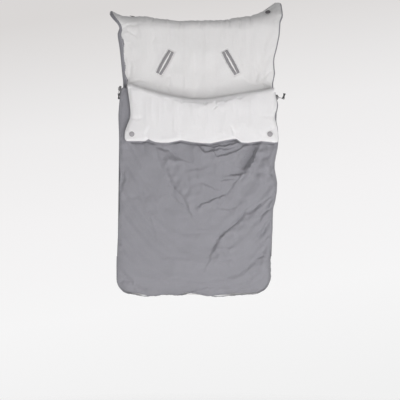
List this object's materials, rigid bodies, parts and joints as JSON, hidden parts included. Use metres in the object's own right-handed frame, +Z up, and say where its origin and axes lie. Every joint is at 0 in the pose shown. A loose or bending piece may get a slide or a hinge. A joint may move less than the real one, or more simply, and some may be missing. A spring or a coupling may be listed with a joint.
{
  "type": "stroller footmuff",
  "caption": "Padded footmuff with a zip-off front cover, turned-down neck flap, harness slots and press studs, hung by its folded head end.",
  "frame": {"origin": "on the axis of the rail that the head end hangs over, midway along the muff's width", "axes": "+X to the viewer's right across the muff, -Y to its front, +Z up"},
  "size_m": [0.4992, 0.139, 0.8431],
  "materials": {
    "shell": "woven nylon, faint sheen",
    "lining": "matt brushed cotton",
    "padding": "loose polyester wadding",
    "welt": "matt woven tape",
    "zip": "moulded teeth on woven tape",
    "zip_metal": "dark painted die-cast",
    "stud": "grey lacquered cap",
    "stud_back": "plain nickel finish",
    "grip": "black moulded rubbery plastic",
    "backing": "woven cloth with small grip dots",
    "elastic": "ribbed woven elastic"
  },
  "bodies": {
    "back": {"back_shell": "shell", "back_wadding": "padding", "back_lining": "lining", "foot_pocket_shell": "shell", "foot_pocket_wadding": "padding", "foot_pocket_lining": "lining", "foot_binding": "shell", "anti_slip_panel": "backing", "fixing_band": "elastic", "crotch_welt_a": "welt", "crotch_welt_b": "welt", "back_border_left": "shell", "zip_half_back_left": "zip", "zip_stop_left": "zip_metal", "ear_stud_cap_left": "stud", "ear_stud_socket_left": "stud_back", "shoulder_welt_left_a": "welt", "shoulder_welt_left_b": "welt", "waist_welt_left_a": "welt", "waist_welt_left_b": "welt", "back_border_right": "shell", "zip_half_back_right": "zip", "zip_stop_right": "zip_metal", "ear_stud_cap_right": "stud", "ear_stud_socket_right": "stud_back", "shoulder_welt_right_a": "welt", "shoulder_welt_right_b": "welt", "waist_welt_right_a": "welt", "waist_welt_right_b": "welt"},
    "cover": {"cover_shell": "shell", "cover_wadding": "padding", "cover_lining": "lining", "cover_gusset_left": "shell", "zip_half_cover_left": "zip", "cover_stud_left": "stud_back", "cover_stud_washer_left": "stud_back", "cover_gusset_right": "shell", "zip_half_cover_right": "zip", "cover_stud_right": "stud_back", "cover_stud_washer_right": "stud_back"},
    "flap": {"flap_shell": "shell", "flap_wadding": "padding", "flap_lining": "lining", "flap_stud_cap_left": "stud", "flap_stud_socket_left": "stud_back", "flap_stud_cap_right": "stud", "flap_stud_socket_right": "stud_back"},
    "slider_left": {"slider_left": "zip_metal"},
    "pull_left": {"pull_link_left": "zip_metal", "pull_grip_left": "grip"},
    "slider_right": {"slider_right": "zip_metal"},
    "pull_right": {"pull_link_right": "zip_metal", "pull_grip_right": "grip"}
  },
  "joints": [
    {"name": "cover_open", "type": "hinge", "parent": "back", "child": "cover", "pos_m": [0, -0.07, -0.68], "axis": [1, 0, 0], "range_deg": [0, 170]},
    {"name": "flap_fold", "type": "hinge", "parent": "cover", "child": "flap", "pos_m": [0, -0.083, -0.212], "axis": [-1, 0, 0], "range_deg": [0, 175]},
    {"name": "slider_left_run", "type": "slide", "parent": "back", "child": "slider_left", "axis": [-0.0126, 0, -0.9999], "range_m": [0, 0.4705]},
    {"name": "pull_left_swing", "type": "hinge", "parent": "slider_left", "child": "pull_left", "pos_m": [-0.22551, -0.0445, -0.16495], "axis": [0, 1, 0], "range_deg": [0, 150]},
    {"name": "slider_right_run", "type": "slide", "parent": "back", "child": "slider_right", "axis": [-0.0362, 0, -0.9993], "range_m": [0, 0.4455]},
    {"name": "pull_right_swing", "type": "hinge", "parent": "slider_right", "child": "pull_right", "pos_m": [0.22886, -0.0445, -0.19015], "axis": [0, 1, 0], "range_deg": [-40, 75]}
  ],
  "couplings": [
    {"joint": "slider_left_run", "follows": "cover_open", "m_per_rad": 0.15841},
    {"joint": "slider_right_run", "follows": "cover_open", "m_per_rad": 0.14998}
  ]
}
